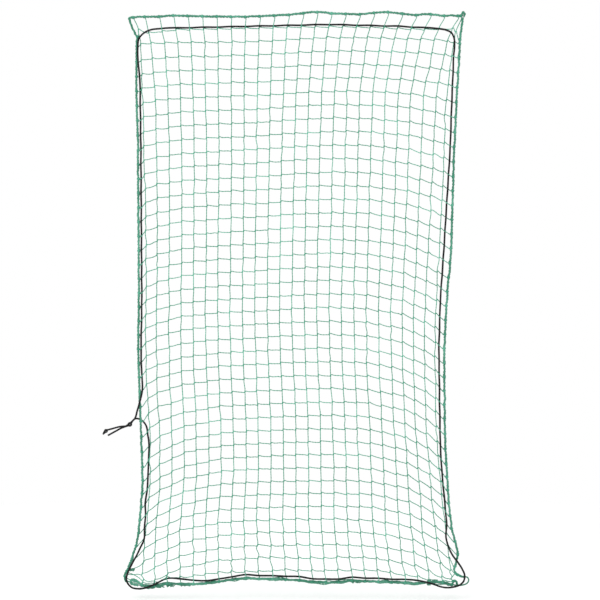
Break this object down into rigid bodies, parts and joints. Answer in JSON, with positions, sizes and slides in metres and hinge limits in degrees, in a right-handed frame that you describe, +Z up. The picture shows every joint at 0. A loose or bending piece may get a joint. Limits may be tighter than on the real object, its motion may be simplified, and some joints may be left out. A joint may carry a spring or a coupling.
{
  "type": "rebounder net",
  "caption": "Green knotless square-mesh sports net with an edge rope and a black elastic cord threaded round it and knotted at the left, hung flat by its top edge.",
  "frame": {"origin": "middle of the top edge rope, where the net is hung", "axes": "+Z up, +X to the right as seen from the front, -Y out of the front of the net"},
  "size_m": [1.6325, 0.0323, 2.576],
  "materials": {
    "twine": "matte twisted polypropylene twine",
    "edge_rope": "matte laid polypropylene rope, lumpy where the meshes are laced to it",
    "elastic": "black braided sheath over a rubber core, slightly satin"
  },
  "bodies": {
    "top_rope": {"top_edge_rope": "edge_rope"},
    "panel": {"left_edge_rope": "edge_rope", "right_edge_rope": "edge_rope", "bottom_edge_rope": "edge_rope", "corner_loop": "edge_rope", "upright_twine_01": "twine", "upright_twine_02": "twine", "upright_twine_03": "twine", "upright_twine_04": "twine", "upright_twine_05": "twine", "upright_twine_06": "twine", "upright_twine_07": "twine", "upright_twine_08": "twine", "upright_twine_09": "twine", "upright_twine_10": "twine", "upright_twine_11": "twine", "upright_twine_12": "twine", "upright_twine_13": "twine", "upright_twine_14": "twine", "upright_twine_15": "twine", "upright_twine_16": "twine", "upright_twine_17": "twine", "upright_twine_18": "twine", "upright_twine_19": "twine", "upright_twine_20": "twine", "upright_twine_21": "twine", "upright_twine_22": "twine", "upright_twine_23": "twine", "upright_twine_24": "twine", "upright_twine_25": "twine", "cross_twines_01_02": "twine", "cross_twines_03_04": "twine", "cross_twines_05_06": "twine", "cross_twines_07_08": "twine", "cross_twines_09_10": "twine", "cross_twines_11_12": "twine", "cross_twines_13_14": "twine", "cross_twines_15_16": "twine", "cross_twines_17_18": "twine", "cross_twines_19_20": "twine", "cross_twines_21_22": "twine", "cross_twines_23_24": "twine", "cross_twines_25_26": "twine", "cross_twines_27_28": "twine", "cross_twines_29_30": "twine", "cross_twines_31_32": "twine", "cross_twines_33_34": "twine", "cross_twines_35_36": "twine", "cross_twines_37_38": "twine", "cross_twines_39_40": "twine", "cross_twines_41_42": "twine", "cross_twines_43_44": "twine", "elastic_cord": "elastic", "elastic_knot": "elastic"},
    "tail_upper": {"tail_upper": "elastic", "tail_stopper": "elastic"},
    "tail_lower": {"tail_lower": "elastic"}
  },
  "joints": [
    {"name": "net_swing", "type": "hinge", "parent": "top_rope", "child": "panel", "pos_m": [0, 0, 0], "axis": [1, 0, 0], "range_deg": [-60, 60]},
    {"name": "tail_upper_flex", "type": "hinge", "parent": "panel", "child": "tail_upper", "pos_m": [-0.75, -0.005, -1.832], "axis": [0, 1, 0], "range_deg": [-40, 40], "stiffness_Nm_per_rad": 0.3},
    {"name": "tail_lower_flex", "type": "hinge", "parent": "panel", "child": "tail_lower", "pos_m": [-0.75, 0.005, -1.832], "axis": [0, 1, 0], "range_deg": [-40, 40], "stiffness_Nm_per_rad": 0.3}
  ]
}
